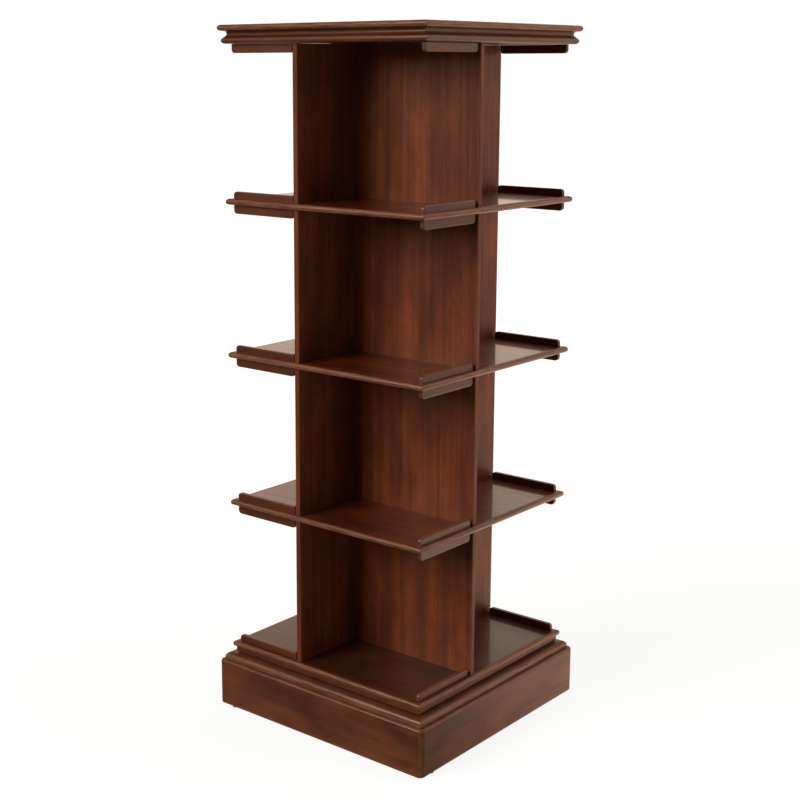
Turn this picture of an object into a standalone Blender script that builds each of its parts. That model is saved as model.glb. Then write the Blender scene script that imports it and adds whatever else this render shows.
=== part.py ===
"""A four-tier revolving display rack in polished mahogany, modelled as its separate pieces.

Metres, +Z up. The origin is on the turning axis, on the floor. The front is -Y.
Each face is the last one turned a quarter turn about Z, so the upright panels make a pinwheel
round a hollow shaft. The shaft hides a steel post, which keeps the case upright as it turns on a
ring of balls in the base.
"""

import math

import bmesh
import bpy
from mathutils import Matrix, Vector

# ---- Driving dimensions ----

JOINT_GAP = 0.0003  # the line between two pieces that meet
ARRIS = 0.0008  # softened sharp edge

SHELF_HALF = 0.225  # from the turning axis to the tip of a shelf's nosing
SHELF_THICK = 0.011
SHELF_LEVELS = 4  # the bottom shelf and three above it
TIER_PITCH = 0.2815  # from one shelf to the next

PANEL_THICK = 0.0105
PANEL_OFFSET = 0.1595  # from a face's left-hand corner to its panel
PANEL_SETBACK = 0.0066  # of a panel's front edge behind the nosing's tip

LIP_THICK = 0.008
LIP_SETBACK = 0.0095  # of a lip's outer face behind the nosing's tip
LIP_START = 0.0118  # from a face's left-hand corner to the lip's end
LIP_PANEL_GAP = 0.004
LIP_RISE = 0.0130  # above a shelf
LIP_DROP = 0.0160  # below a shelf
LIP_CORNER = 0.0065

PAD_RADIUS = 0.0075
PAD_THICK = 0.0015
PLINTH_HALF = 0.2436
PLINTH_HEIGHT = 0.0885
PLINTH_THICK = 0.018
PLINTH_CORNER = 0.010
PLINTH_TOP_ROUND = 0.0045

BASE_BOARD_HALF = 0.2355
BASE_BOARD_THICK = 0.0124
BASE_BOARD_ROUND = 0.0095  # quarter round on its upper edge
RUNNING_GAP = 0.0017  # between the part that turns and the part that stands
TURNTABLE_HALF = 0.2203
TURNTABLE_THICK = 0.0094
BEARING_WELL_RADIUS = 0.058

TOP_HEIGHT = 1.2755  # of the top surface above the floor
TOP_THICK = 0.033
TOP_HALF = 0.2326  # to the upper bead's tip
TOP_LOWER_HALF = 0.2277  # to the lower bead's tip
TOP_COVE_HALF = 0.2203  # to the deepest line of the hollow between the beads
TOP_UPPER_BEAD = 0.0105
TOP_LOWER_BEAD = 0.0114
TOP_FRAME_WIDTH = 0.036

POST_RADIUS = 0.011
POST_BORE = 0.009
POST_FLANGE_RADIUS = 0.030
POST_FLANGE_THICK = 0.004
POST_HOLE_RADIUS = 0.015
POST_TOP_CLEARANCE = 0.0035
BUSH_RADIUS = 0.018
BUSH_FLANGE_RADIUS = 0.030
BUSH_FLANGE_THICK = 0.004
BUSH_LENGTH = 0.030

RACE_INNER = 0.034
RACE_OUTER = 0.054
BALL_TRACK = 0.044
BALL_RADIUS = 0.0032
BALL_COUNT = 14
GROOVE_CLEARANCE = 0.0003
RACE_SPACE = 0.0036  # between the two races' faces
CAGE_INNER = 0.0395
CAGE_OUTER = 0.0485
CAGE_THICK = 0.002

ROUND_STEPS = 48  # facets round a turned piece
BEAD_STEPS = 8  # facets over a half round

# ---- Heights worked out from them ----

PLINTH_BOTTOM = PAD_THICK + JOINT_GAP
PLINTH_TOP = PLINTH_BOTTOM + PLINTH_HEIGHT
BASE_BOARD_BOTTOM = PLINTH_TOP + JOINT_GAP
BASE_BOARD_TOP = BASE_BOARD_BOTTOM + BASE_BOARD_THICK
TURNTABLE_BOTTOM = BASE_BOARD_TOP + RUNNING_GAP
TURNTABLE_TOP = TURNTABLE_BOTTOM + TURNTABLE_THICK
BOTTOM_SHELF_MIDDLE = TURNTABLE_TOP + JOINT_GAP + SHELF_THICK / 2
TOP_UNDERSIDE = TOP_HEIGHT - TOP_THICK
RACE_MIDDLE = (BASE_BOARD_TOP + TURNTABLE_TOP + JOINT_GAP) / 2

FACES = ("front", "right", "back", "left")


def shelf_middle(level):
    return BOTTOM_SHELF_MIDDLE + level * TIER_PITCH


# ---- Finishes ----


def finish(name, colour, roughness, metallic=0.0):
    material = bpy.data.materials.new(name)
    material.use_nodes = True
    shader = material.node_tree.nodes["Principled BSDF"]
    shader.inputs["Base Color"].default_value = (*colour, 1.0)
    shader.inputs["Roughness"].default_value = roughness
    shader.inputs["Metallic"].default_value = metallic
    material.diffuse_color = (*colour, 1.0)
    return material


def finishes():
    return {
        "panel": finish("panel_mahogany", (0.095, 0.026, 0.014), 0.32),
        "shelf": finish("shelf_mahogany", (0.080, 0.024, 0.014), 0.22),
        "edge": finish("edge_mahogany", (0.125, 0.043, 0.025), 0.34),
        "plinth": finish("plinth_mahogany", (0.115, 0.037, 0.021), 0.30),
        "steel": finish("bright_steel", (0.56, 0.57, 0.58), 0.28, 1.0),
        "nylon": finish("cream_nylon", (0.72, 0.69, 0.60), 0.45),
        "felt": finish("brown_felt", (0.10, 0.075, 0.055), 0.95),
    }


# ---- Shapes ----


def node(name, shape, material, parent, place=(0, 0, 0), quarter_turns=0):
    """Makes the bmesh an object with its own material, turned about Z with its place."""
    mesh = bpy.data.meshes.new(name)
    shape.to_mesh(mesh)
    shape.free()
    obj = bpy.data.objects.new(name, mesh)
    bpy.context.scene.collection.objects.link(obj)
    own_material = material.copy()
    own_material.name = name + "_finish"
    mesh.materials.append(own_material)
    turn = quarter_turns * math.pi / 2
    obj.parent = parent
    obj.location = Matrix.Rotation(turn, 3, "Z") @ Vector(place)
    obj.rotation_euler.z = turn
    return obj


def block(size, arris=ARRIS):
    """A box about its own middle, with its edges softened."""
    shape = bmesh.new()
    bmesh.ops.create_cube(shape, size=1.0)
    bmesh.ops.scale(shape, vec=size, verts=shape.verts)
    if arris:
        bmesh.ops.bevel(shape, geom=shape.edges[:], affect="EDGES", offset=arris, segments=1)
    return shape


def square_stack(rings):
    """A solid square on plan, from (half width, height) rings that run from bottom to top."""
    shape = bmesh.new()
    half, height = rings[0]
    corners = [(-half, -half), (half, -half), (half, half), (-half, half)]
    face = shape.faces.new([shape.verts.new((x, y, height)) for x, y in corners])
    for next_half, next_height in rings[1:]:
        raised = bmesh.ops.extrude_face_region(shape, geom=[face])["geom"]
        top = [item for item in raised if isinstance(item, bmesh.types.BMVert)]
        bmesh.ops.scale(shape, vec=(next_half / half, next_half / half, 1.0), verts=top)
        bmesh.ops.translate(shape, vec=(0, 0, next_height - height), verts=top)
        if face.is_valid and height > rings[0][1]:
            bmesh.ops.delete(shape, geom=[face], context="FACES_ONLY")
        face = next(item for item in raised if isinstance(item, bmesh.types.BMFace))
        half, height = next_half, next_height
    bmesh.ops.recalc_face_normals(shape, faces=shape.faces)
    return shape


def half_round(tip, middle, thick, low=-90, high=90, steps=BEAD_STEPS):
    """(distance from the axis, height) points over a rounded edge, from low to high degrees."""
    radius = thick / 2
    points = []
    for step in range(steps + 1):
        angle = math.radians(low + (high - low) * step / steps)
        points.append((tip - radius + radius * math.cos(angle), middle + radius * math.sin(angle)))
    return points


def mitred_length(section):
    """A length along the front face with this (distance out, height) section, mitred at both ends."""
    shape = bmesh.new()
    trim = JOINT_GAP / 2 * math.sqrt(2)
    start = shape.faces.new([shape.verts.new((-out + trim, -out, height)) for out, height in section])
    run = bmesh.ops.extrude_face_region(shape, geom=[start])["geom"]
    for vert in run:
        if isinstance(vert, bmesh.types.BMVert):
            vert.co.x = -vert.co.x
    bmesh.ops.recalc_face_normals(shape, faces=shape.faces)
    return shape


def turned(profile, steps=ROUND_STEPS):
    """A solid of revolution about Z from a closed (radius, height) outline."""
    shape = bmesh.new()
    points = [shape.verts.new((radius, 0, height)) for radius, height in profile]
    outline = [shape.edges.new(pair) for pair in zip(points, points[1:] + points[:1])]
    bmesh.ops.spin(
        shape,
        geom=points + outline,
        axis=(0, 0, 1),
        cent=(0, 0, 0),
        angle=2 * math.pi,
        steps=steps,
        use_merge=True,
    )
    bmesh.ops.remove_doubles(shape, verts=shape.verts, dist=1e-6)
    bmesh.ops.dissolve_degenerate(shape, edges=shape.edges, dist=1e-6)
    bmesh.ops.recalc_face_normals(shape, faces=shape.faces)
    return shape


def shade_round(obj):
    obj.data.shade_smooth()
    obj.data.set_sharp_from_angle(angle=math.radians(35))


def empty(name, height):
    obj = bpy.data.objects.new(name, None)
    bpy.context.scene.collection.objects.link(obj)
    obj.location.z = height
    return obj


def hidden_cutter(name, shape):
    """A helper solid that only Booleans see."""
    mesh = bpy.data.meshes.new(name)
    shape.to_mesh(mesh)
    shape.free()
    obj = bpy.data.objects.new(name, mesh)
    bpy.context.scene.collection.objects.link(obj)
    obj.hide_render = True
    obj.display_type = "WIRE"
    return obj


def combine(obj, cutter, operation):
    boolean = obj.modifiers.new(operation.lower(), "BOOLEAN")
    boolean.operation = operation
    boolean.object = cutter
    boolean.solver = "EXACT"


def clear_scene():
    for obj in list(bpy.data.objects):
        bpy.data.objects.remove(obj, do_unlink=True)


# ---- Cutters ----


def post_hole():
    """A cylinder through every board that the post passes."""
    shape = bmesh.new()
    bmesh.ops.create_cone(
        shape,
        cap_ends=True,
        segments=ROUND_STEPS,
        radius1=POST_HOLE_RADIUS,
        radius2=POST_HOLE_RADIUS,
        depth=TOP_HEIGHT,
        matrix=Matrix.Translation((0, 0, TOP_UNDERSIDE - TOP_HEIGHT / 2 - JOINT_GAP)),
    )
    return hidden_cutter("post_hole_cutter", shape)


def bearing_well():
    """The round opening in the turntable board that the bearing sits in."""
    shape = bmesh.new()
    bmesh.ops.create_cone(
        shape,
        cap_ends=True,
        segments=ROUND_STEPS,
        radius1=BEARING_WELL_RADIUS,
        radius2=BEARING_WELL_RADIUS,
        depth=3 * TURNTABLE_THICK,
        matrix=Matrix.Translation((0, 0, (TURNTABLE_BOTTOM + TURNTABLE_TOP) / 2)),
    )
    return hidden_cutter("bearing_well_cutter", shape)


def lip_run():
    """Middle (x, y) and length of the front face's lip."""
    start = -SHELF_HALF + LIP_START
    end = -SHELF_HALF + PANEL_OFFSET - LIP_PANEL_GAP
    return (start + end) / 2, -SHELF_HALF + LIP_SETBACK + LIP_THICK / 2, end - start


def lip_slots():
    """Four upright slots, one behind each face's nosing, through every shelf above the bottom one."""
    shape = bmesh.new()
    x_middle, y_middle, length = lip_run()
    size = (length + 2 * JOINT_GAP, LIP_THICK + 2 * JOINT_GAP, TOP_HEIGHT)
    for turn in range(len(FACES)):
        slot = bmesh.ops.create_cube(shape, size=1.0)["verts"]
        bmesh.ops.scale(shape, vec=size, verts=slot)
        bmesh.ops.translate(shape, vec=(x_middle, y_middle, TOP_HEIGHT / 2), verts=slot)
        bmesh.ops.rotate(shape, matrix=Matrix.Rotation(turn * math.pi / 2, 3, "Z"), verts=slot)
    return hidden_cutter("lip_slot_cutter", shape)


def plinth_envelope():
    """The plinth's outer form: rounded upright corners and a rounded top edge."""
    shape = block((2 * PLINTH_HALF, 2 * PLINTH_HALF, PLINTH_HEIGHT), arris=0)
    upright = [
        edge
        for edge in shape.edges
        if abs(edge.verts[0].co.z - edge.verts[1].co.z) > PLINTH_HEIGHT / 2
    ]
    bmesh.ops.bevel(
        shape, geom=upright, affect="EDGES", offset=PLINTH_CORNER, segments=6, profile=0.5
    )
    level = PLINTH_HEIGHT / 2 - 1e-6
    top = [edge for edge in shape.edges if min(vert.co.z for vert in edge.verts) > level]
    bmesh.ops.bevel(
        shape, geom=top, affect="EDGES", offset=PLINTH_TOP_ROUND, segments=3, profile=0.5
    )
    bmesh.ops.translate(shape, vec=(0, 0, PLINTH_BOTTOM + PLINTH_HEIGHT / 2), verts=shape.verts)
    return hidden_cutter("plinth_envelope", shape)


# ---- The base, which stands still ----


def make_plinth(base, looks):
    envelope = plinth_envelope()
    inner, outer = PLINTH_HALF - PLINTH_THICK, PLINTH_HALF
    section = [
        (inner, PLINTH_BOTTOM),
        (outer, PLINTH_BOTTOM),
        (outer, PLINTH_TOP),
        (inner, PLINTH_TOP),
    ]
    pad_out = PLINTH_HALF - PLINTH_THICK / 2
    pad_along = -PLINTH_HALF + 2 * PLINTH_THICK
    for turn, face in enumerate(FACES):
        length = mitred_length(section)
        board = node(f"plinth_board_{face}", length, looks["plinth"], base, quarter_turns=turn)
        combine(board, envelope, "INTERSECT")
        pad = turned([(0, 0), (PAD_RADIUS, 0), (PAD_RADIUS, PAD_THICK), (0, PAD_THICK)], 24)
        place = (pad_along, -pad_out, 0)
        shade_round(node(f"felt_pad_{face}", pad, looks["felt"], base, place, turn))


def make_base_board(base, looks):
    """The upper edge is a quarter round, which falls away from the running gap."""
    round_middle = BASE_BOARD_TOP - BASE_BOARD_ROUND
    crown = half_round(BASE_BOARD_HALF, round_middle, 2 * BASE_BOARD_ROUND, 0, 90)
    rings = [(BASE_BOARD_HALF, BASE_BOARD_BOTTOM), *crown]
    node("base_board", square_stack(rings), looks["edge"], base)


def make_post(base, looks):
    bottom = BASE_BOARD_TOP + JOINT_GAP
    flange_top = bottom + POST_FLANGE_THICK
    top = TOP_UNDERSIDE - POST_TOP_CLEARANCE
    profile = [
        (0, bottom),
        (POST_FLANGE_RADIUS, bottom),
        (POST_FLANGE_RADIUS, flange_top),
        (POST_RADIUS, flange_top),
        (POST_RADIUS, top),
        (POST_BORE, top),
        (POST_BORE, flange_top),
        (0, flange_top),
    ]
    shade_round(node("centre_post", turned(profile, 32), looks["steel"], base))


# ---- The bearing ----


def race_profile(back, front):
    """A race's (radius, height) outline, with the ball groove in its front face."""
    radius = BALL_RADIUS + GROOVE_CLEARANCE
    reach = abs(front - RACE_MIDDLE)
    half_angle = math.acos(reach / radius)
    side = math.copysign(1.0, front - RACE_MIDDLE)
    groove = []
    for step in range(7):
        angle = -half_angle + 2 * half_angle * step / 6
        groove.append(
            (BALL_TRACK + radius * math.sin(angle), RACE_MIDDLE + side * radius * math.cos(angle))
        )
    return [(RACE_INNER, back), (RACE_INNER, front), *groove, (RACE_OUTER, front), (RACE_OUTER, back)]


def make_bearing(base, case, cage, looks):
    low_face = RACE_MIDDLE - RACE_SPACE / 2
    high_face = RACE_MIDDLE + RACE_SPACE / 2
    lower = race_profile(BASE_BOARD_TOP + JOINT_GAP, low_face)
    upper = race_profile(TURNTABLE_TOP, high_face)
    shade_round(node("lower_race", turned(lower), looks["steel"], base))
    shade_round(node("upper_race", turned(upper), looks["steel"], case))

    low, high = RACE_MIDDLE - CAGE_THICK / 2, RACE_MIDDLE + CAGE_THICK / 2
    ring = turned([(CAGE_INNER, low), (CAGE_OUTER, low), (CAGE_OUTER, high), (CAGE_INNER, high)])
    ball_cage = node("ball_cage", ring, looks["steel"], cage)
    balls = bmesh.new()
    for index in range(BALL_COUNT):
        angle = 2 * math.pi * index / BALL_COUNT
        centre = (BALL_TRACK * math.cos(angle), BALL_TRACK * math.sin(angle), RACE_MIDDLE)
        bmesh.ops.create_icosphere(
            balls, subdivisions=2, radius=BALL_RADIUS, matrix=Matrix.Translation(centre)
        )
    combine(ball_cage, hidden_cutter("ball_cage_balls", balls), "UNION")


# ---- The case, which turns ----


def make_shelves(case, looks):
    hole = post_hole()
    well = bearing_well()
    slots = lip_slots()
    turntable = square_stack([(TURNTABLE_HALF, TURNTABLE_BOTTOM), (TURNTABLE_HALF, TURNTABLE_TOP)])
    combine(node("turntable_board", turntable, looks["edge"], case), well, "DIFFERENCE")
    for level in range(SHELF_LEVELS):
        rings = half_round(SHELF_HALF, 0, SHELF_THICK)
        name = f"shelf_{level}" if level else "bottom_shelf"
        height = shelf_middle(level)
        shelf = node(name, square_stack(rings), looks["shelf"], case, (0, 0, height))
        combine(shelf, hole, "DIFFERENCE")
        if level:
            combine(shelf, slots, "DIFFERENCE")


def make_panels(case, looks):
    """Each panel runs from near the nosing to the next face's panel, which it butts."""
    outer = -SHELF_HALF + PANEL_SETBACK
    inner = SHELF_HALF - PANEL_OFFSET - PANEL_THICK - JOINT_GAP
    x_middle = -SHELF_HALF + PANEL_OFFSET + PANEL_THICK / 2
    for level in range(SHELF_LEVELS):
        low = shelf_middle(level) + SHELF_THICK / 2 + JOINT_GAP
        above = shelf_middle(level + 1) - SHELF_THICK / 2
        high = (TOP_UNDERSIDE if level == SHELF_LEVELS - 1 else above) - JOINT_GAP
        size = (PANEL_THICK, inner - outer, high - low)
        place = (x_middle, (inner + outer) / 2, (low + high) / 2)
        for turn, face in enumerate(FACES):
            node(f"panel_tier{level + 1}_{face}", block(size), looks["panel"], case, place, turn)


def lip_shape(low, high, round_low, round_high):
    """A strip on edge, with the corners of its upper or lower edge, or both, rounded off."""
    length = lip_run()[2]
    shape = block((length, LIP_THICK, high - low), arris=0)
    rounded = [
        edge
        for edge in shape.edges
        if abs(edge.verts[0].co.y - edge.verts[1].co.y) > LIP_THICK / 2
        and (round_high if edge.verts[0].co.z > 0 else round_low)
    ]
    bmesh.ops.bevel(
        shape, geom=rounded, affect="EDGES", offset=LIP_CORNER, segments=4, profile=0.5
    )
    return shape


def make_lips(case, looks):
    x_middle, y_middle, _ = lip_run()
    for level in range(SHELF_LEVELS + 1):
        name, corners = f"lip_{level}", (True, True)
        top_of_shelf = shelf_middle(level) + SHELF_THICK / 2
        low = top_of_shelf - SHELF_THICK - LIP_DROP
        high = top_of_shelf + LIP_RISE
        if level == 0:
            name, corners = "bottom_lip", (False, True)
            low = top_of_shelf + JOINT_GAP
        elif level == SHELF_LEVELS:
            name, corners = "top_lip", (True, False)
            low, high = TOP_UNDERSIDE - LIP_DROP, TOP_UNDERSIDE - JOINT_GAP
        for turn, face in enumerate(FACES):
            place = (x_middle, y_middle, (low + high) / 2)
            node(f"{name}_{face}", lip_shape(low, high, *corners), looks["edge"], case, place, turn)


def top_section():
    """The top moulding from its inner edge: a bead, a hollow and a bead, from the underside up."""
    lower = half_round(TOP_LOWER_HALF, TOP_UNDERSIDE + TOP_LOWER_BEAD / 2, TOP_LOWER_BEAD, -90, 60, 6)
    upper = half_round(TOP_HALF, TOP_HEIGHT - TOP_UPPER_BEAD / 2, TOP_UPPER_BEAD, -80, 90, 7)
    low, high = lower[-1][1], upper[0][1]
    hollow = []
    for step in range(1, 6):
        angle = math.radians(180 * step / 6)
        middle = (low + high) / 2
        reach = upper[0][0] * step / 6 + lower[-1][0] * (6 - step) / 6 - TOP_COVE_HALF
        out = TOP_COVE_HALF + reach * (1 - math.sin(angle))
        hollow.append((out, middle - (high - low) / 2 * math.cos(angle)))
    inner = TOP_HALF - TOP_FRAME_WIDTH
    return [(inner, TOP_UNDERSIDE), *lower, *hollow, *upper, (inner, TOP_HEIGHT)]


def make_top(case, looks):
    for turn, face in enumerate(FACES):
        length = mitred_length(top_section())
        shade_round(node(f"top_moulding_{face}", length, looks["edge"], case, quarter_turns=turn))
    half = TOP_HALF - TOP_FRAME_WIDTH - JOINT_GAP
    size = (2 * half, 2 * half, TOP_THICK)
    middle = (0, 0, TOP_UNDERSIDE + TOP_THICK / 2)
    node("top_board", block(size), looks["shelf"], case, middle)

    bush_top = TOP_UNDERSIDE - JOINT_GAP
    flange_low = bush_top - BUSH_FLANGE_THICK
    bore = POST_RADIUS + JOINT_GAP
    profile = [
        (bore, bush_top - BUSH_LENGTH),
        (BUSH_RADIUS, bush_top - BUSH_LENGTH),
        (BUSH_RADIUS, flange_low),
        (BUSH_FLANGE_RADIUS, flange_low),
        (BUSH_FLANGE_RADIUS, bush_top),
        (bore, bush_top),
    ]
    shade_round(node("top_bush", turned(profile, 32), looks["nylon"], case))


def main():
    clear_scene()
    looks = finishes()
    base = empty("base_frame", 0)
    case = empty("case_axis", 0)
    cage = empty("cage_axis", 0)
    make_plinth(base, looks)
    make_base_board(base, looks)
    make_post(base, looks)
    make_bearing(base, case, cage, looks)
    make_shelves(case, looks)
    make_panels(case, looks)
    make_lips(case, looks)
    make_top(case, looks)


main()
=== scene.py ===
# %% [markdown]
# # A revolving display rack in polished mahogany
# The rack is a tall case of four open tiers that turns on a low plinth. This script loads the
# plain working model as a fixed frame, then models each board again with its soft edges, its
# mitres and its own run of grain, and gives it a finish.

# %% Load the frame
import math
import random

import bmesh
import bpy
from mathutils import Matrix, Vector


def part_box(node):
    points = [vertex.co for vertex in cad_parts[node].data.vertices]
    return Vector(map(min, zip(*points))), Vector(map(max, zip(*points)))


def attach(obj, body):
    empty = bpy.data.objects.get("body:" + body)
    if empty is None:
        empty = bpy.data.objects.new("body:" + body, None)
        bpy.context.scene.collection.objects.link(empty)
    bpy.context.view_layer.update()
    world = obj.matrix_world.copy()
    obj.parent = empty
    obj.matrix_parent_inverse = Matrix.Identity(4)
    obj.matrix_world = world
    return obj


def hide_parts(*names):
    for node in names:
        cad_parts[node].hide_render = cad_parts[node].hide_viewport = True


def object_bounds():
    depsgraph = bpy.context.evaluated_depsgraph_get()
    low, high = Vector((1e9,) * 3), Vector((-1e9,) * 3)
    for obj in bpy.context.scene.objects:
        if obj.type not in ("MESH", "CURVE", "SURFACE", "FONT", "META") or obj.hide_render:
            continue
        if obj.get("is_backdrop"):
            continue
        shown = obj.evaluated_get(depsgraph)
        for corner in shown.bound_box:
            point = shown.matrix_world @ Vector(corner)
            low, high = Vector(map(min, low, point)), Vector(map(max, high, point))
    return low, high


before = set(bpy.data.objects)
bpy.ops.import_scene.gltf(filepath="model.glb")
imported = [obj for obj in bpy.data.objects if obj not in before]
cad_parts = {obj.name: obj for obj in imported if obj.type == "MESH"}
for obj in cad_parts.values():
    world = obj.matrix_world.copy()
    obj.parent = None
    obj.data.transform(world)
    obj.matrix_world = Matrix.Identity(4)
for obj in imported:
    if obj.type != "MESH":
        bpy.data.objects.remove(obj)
cad_low, cad_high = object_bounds()

# %% [markdown]
# ## Camera
# The rack is seen from its front right, from a little below the height of its top. The long
# lens keeps the uprights almost parallel, and the small shift frames the rack off-centre
# without tilting the camera.

# %% Camera
EYE = Vector((1.6322, -2.0744, 1.2031))
TURN, TILT = math.radians(40.12), math.radians(-11.21)
LENS, SHIFT = 65.12, (0.0598, -0.0582)

camera_data = bpy.data.cameras.new("studio_camera")
camera_data.lens = LENS
camera_data.shift_x, camera_data.shift_y = SHIFT
camera = bpy.data.objects.new("studio_camera", camera_data)
camera.location = EYE
camera.rotation_euler = (math.pi / 2 + TILT, 0, TURN)
bpy.context.scene.collection.objects.link(camera)
bpy.context.scene.camera = camera
print("camera at", tuple(round(v, 3) for v in EYE))

# %% [markdown]
# ## Stage and light
# A pale floor and a pale surround are the studio. Polished wood is dark, so most of what the eye
# reads on it is reflection: the studio is bright behind the rack, which puts a sheen on the
# shelves at a low angle, and dim in front, which leaves the compartments deep.
#
# The floor is one large square. A floor that is only lit would turn grey with distance, so a
# glow of its own keeps it near white to the eye. A Light Path node tells the camera's rays from
# the others, so that the wood can be given a warmer floor to reflect.

# %% Floor
FLOOR_SIZE = 60.0
FLOOR_SEEN, FLOOR_ROUGHNESS = (0.30, 0.36, 0.41), 0.8
GLOW_FROM, GLOW_TO, GLOW_NEAR, GLOW_FAR = 0.5, 4.0, 0.84, 1.0
BOUNCE_COLOUR = (1.0, 0.79, 0.60)
BOUNCE_FROM, BOUNCE_TO, BOUNCE_FRONT, BOUNCE_BEHIND = -0.5, 0.7, 0.05, 0.62
CLOSE_FROM, CLOSE_TO, BOUNCE_CLOSE = 0.5, 3.5, 2.3


def graded(tree, value, start, end, first=0.0, last=1.0):
    """A smooth change from the first number to the last, while the value goes from start to end."""
    node = tree.nodes.new("ShaderNodeMapRange")
    node.interpolation_type = "SMOOTHSTEP"
    limits = {"From Min": start, "From Max": end, "To Min": first, "To Max": last}
    for label, number in limits.items():
        node.inputs[label].default_value = number
    tree.links.new(value, node.inputs["Value"])
    return node.outputs["Result"]


def combined(tree, operation, first, second):
    """A maths node on two sockets, or on a socket and a number."""
    node = tree.nodes.new("ShaderNodeMath")
    node.operation = operation
    for index, item in enumerate((first, second)):
        if isinstance(item, (int, float)):
            node.inputs[index].default_value = item
        else:
            tree.links.new(item, node.inputs[index])
    return node.outputs[0]


def floor_material():
    """Near white to the eye. The wood gets a warm glow from the floor behind it, and little in front."""
    material = bpy.data.materials.new("pale_floor")
    material.use_nodes = True
    tree = material.node_tree
    seen = tree.nodes["Principled BSDF"]
    seen.inputs["Base Color"].default_value = (*FLOOR_SEEN, 1)
    seen.inputs["Roughness"].default_value = FLOOR_ROUGHNESS
    seen.inputs["Specular IOR Level"].default_value = 0.0
    seen.inputs["Emission Color"].default_value = (1, 1, 1, 1)
    place = tree.nodes.new("ShaderNodeTexCoord")
    split = tree.nodes.new("ShaderNodeSeparateXYZ")
    tree.links.new(place.outputs["Object"], split.inputs[0])
    distance = tree.nodes.new("ShaderNodeVectorMath")
    distance.operation = "LENGTH"
    tree.links.new(place.outputs["Object"], distance.inputs[0])
    seen_glow = graded(tree, distance.outputs["Value"], GLOW_FROM, GLOW_TO, GLOW_NEAR, GLOW_FAR)
    tree.links.new(seen_glow, seen.inputs["Emission Strength"])
    depth = graded(
        tree, split.outputs["Y"], BOUNCE_FROM, BOUNCE_TO, BOUNCE_FRONT, BOUNCE_BEHIND
    )
    closeness = graded(tree, split.outputs["Y"], CLOSE_FROM, CLOSE_TO, BOUNCE_CLOSE, 1.0)
    glow = tree.nodes.new("ShaderNodeEmission")
    glow.inputs["Color"].default_value = (*BOUNCE_COLOUR, 1)
    tree.links.new(combined(tree, "MULTIPLY", depth, closeness), glow.inputs["Strength"])
    ray = tree.nodes.new("ShaderNodeLightPath")
    mix = tree.nodes.new("ShaderNodeMixShader")
    tree.links.new(ray.outputs["Is Camera Ray"], mix.inputs["Fac"])
    tree.links.new(glow.outputs["Emission"], mix.inputs[1])
    tree.links.new(seen.outputs["BSDF"], mix.inputs[2])
    tree.links.new(mix.outputs["Shader"], tree.nodes["Material Output"].inputs["Surface"])
    return material


floor_shape = bmesh.new()
bmesh.ops.create_grid(floor_shape, x_segments=1, y_segments=1, size=FLOOR_SIZE / 2)
floor_mesh = bpy.data.meshes.new("studio_floor")
floor_shape.to_mesh(floor_mesh)
floor_shape.free()
floor = bpy.data.objects.new("studio_floor", floor_mesh)
floor_mesh.materials.append(floor_material())
bpy.context.scene.collection.objects.link(floor)
floor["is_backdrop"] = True
print("floor", FLOOR_SIZE, "m square")

# %% [markdown]
# ### Surround
# The surround is the world's own light. It is white to the camera, and a warm room to the wood:
# dim in front, bright behind, and half as bright overhead as it is near the horizon. The Standard
# view shows these brightnesses as they are, where a filmic one would grey the white.

# %% Surround
BEHIND, IN_FRONT, OVERHEAD = 1.16, 0.09, 0.5
DEPTH_FROM, DEPTH_TO = 0.0, 0.72
RISE_FROM, RISE_TO = 0.1, 0.55
ROOM_COLOUR = (1.0, 0.79, 0.62)

world = bpy.data.worlds.new("studio_surround")
world.use_nodes = True
bpy.context.scene.world = world
nodes, links = world.node_tree.nodes, world.node_tree.links
room, room_output = nodes["Background"], nodes["World Output"]
direction = nodes.new("ShaderNodeTexCoord")
split = nodes.new("ShaderNodeSeparateXYZ")
links.new(direction.outputs["Generated"], split.inputs[0])
depth = graded(world.node_tree, split.outputs["Y"], DEPTH_FROM, DEPTH_TO, IN_FRONT, BEHIND)
rise = graded(world.node_tree, split.outputs["Z"], RISE_FROM, RISE_TO, 1.0, OVERHEAD)
links.new(combined(world.node_tree, "MULTIPLY", depth, rise), room.inputs["Strength"])
room.inputs["Color"].default_value = (*ROOM_COLOUR, 1)
backdrop = nodes.new("ShaderNodeBackground")
backdrop.inputs["Color"].default_value = (1, 1, 1, 1)
ray = nodes.new("ShaderNodeLightPath")
choice = nodes.new("ShaderNodeMixShader")
links.new(ray.outputs["Is Camera Ray"], choice.inputs["Fac"])
links.new(room.outputs[0], choice.inputs[1])
links.new(backdrop.outputs[0], choice.inputs[2])
links.new(choice.outputs[0], room_output.inputs["Surface"])
bpy.context.scene.view_settings.view_transform = "Standard"
print("surround", BEHIND, "behind and", IN_FRONT, "in front")

# %% [markdown]
# ### Lamps
# The key light stands in front and to the left. It is wide and tall, because a large light
# softens the shadow under each shelf and lets a little light into the inner corners. A small warm
# one behind, on the right, catches the mouldings, and a weak cool one fills the right-hand face.

# %% Lamps


def softbox(name, place, size, power, colour):
    """A soft light, as wide and as high as its size says, that faces the middle of the rack."""
    lamp = bpy.data.lights.new(name, "AREA")
    lamp.shape = "RECTANGLE"
    lamp.size, lamp.size_y = size
    lamp.energy, lamp.color = power, colour
    obj = bpy.data.objects.new(name, lamp)
    obj.location = place
    towards = (cad_low + cad_high) / 2 - Vector(place)
    obj.rotation_euler = towards.to_track_quat("-Z", "Y").to_euler()
    bpy.context.scene.collection.objects.link(obj)


softbox("key_softbox", (-2.15, -5.3, 3.7), (3.6, 3.9), 272, (1.0, 0.87, 0.68))
softbox("side_softbox", (1.9, 1.3, 3.6), (1.6, 1.6), 26, (1.0, 0.84, 0.70))
softbox("fill_softbox", (3.4, -2.6, 1.5), (2.4, 2.4), 7, (0.36, 0.80, 1.0))
print("three softboxes")

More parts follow.
